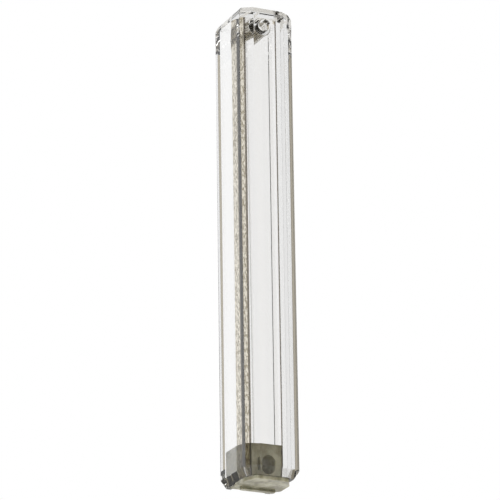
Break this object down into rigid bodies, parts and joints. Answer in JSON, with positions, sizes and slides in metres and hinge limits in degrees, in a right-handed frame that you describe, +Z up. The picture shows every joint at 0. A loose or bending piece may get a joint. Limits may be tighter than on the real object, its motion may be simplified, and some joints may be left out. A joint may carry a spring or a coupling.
{
  "type": "mezuzah case",
  "caption": "Clear moulded mezuzah case, a long faceted tube with a thick clear front, a scroll cavity, a tube round the upper pin hole and a pull-out grey stopper in its open lower end.",
  "frame": {"origin": "on the flat back face, at the middle of the case's width and length", "axes": "+Z up along the case, front face towards -Y, +X to the right when the front is seen from outside with +Z up"},
  "size_m": [0.0142, 0.0172, 0.1214],
  "materials": {
    "clear_plastic": "polished clear acrylic with a faint warm tint",
    "grey_silicone": "smooth translucent grey silicone"
  },
  "bodies": {
    "case": {"case_body": "clear_plastic"},
    "stopper": {"stopper": "grey_silicone"}
  },
  "joints": [
    {"name": "stopper_pull", "type": "slide", "parent": "case", "child": "stopper", "axis": [0, 0, -1], "range_m": [0, 0.025]}
  ]
}
